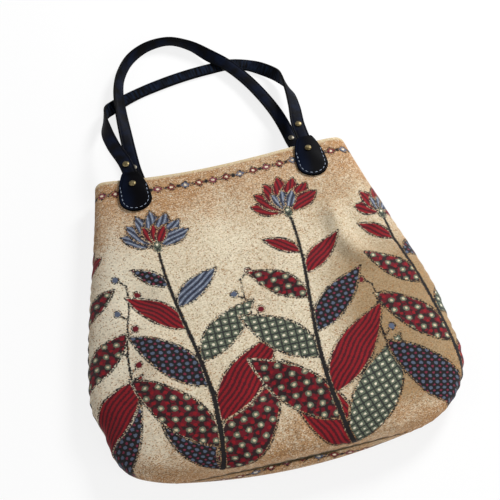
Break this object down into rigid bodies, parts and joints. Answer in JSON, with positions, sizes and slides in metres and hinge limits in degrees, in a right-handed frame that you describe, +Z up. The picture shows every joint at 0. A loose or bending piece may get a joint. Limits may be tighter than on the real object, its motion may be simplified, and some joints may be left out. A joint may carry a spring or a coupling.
{
  "type": "tote bag",
  "caption": "Soft tapestry tote bag with flared sides and rounded bottom corners, lying flat with its two riveted leather strap handles laid out above the open mouth.",
  "frame": {"origin": "on the table, under the middle of the whole outline (handles included)", "axes": "+Z up from the table the bag lies on, +Y from the bottom seam to the mouth and handles, +X to the right as the front is looked at"},
  "size_m": [0.416, 0.6278, 0.0521],
  "materials": {
    "tapestry": "woven tapestry cloth, cream and tan ground with a woven design in crimson, black and slate",
    "lining": "plain woven cloth, matt",
    "leather": "black grained leather with dark edges, soft sheen",
    "antique_brass": "antique brass, satin"
  },
  "bodies": {
    "root": {"front_panel": "tapestry", "back_panel": "tapestry", "front_lining": "lining", "back_lining": "lining", "front_strap": "leather", "back_strap": "leather", "front_left_tab": "leather", "front_right_tab": "leather", "back_left_tab": "leather", "back_right_tab": "leather", "tab_rivets": "antique_brass", "strap_rivets": "antique_brass"}
  },
  "joints": []
}
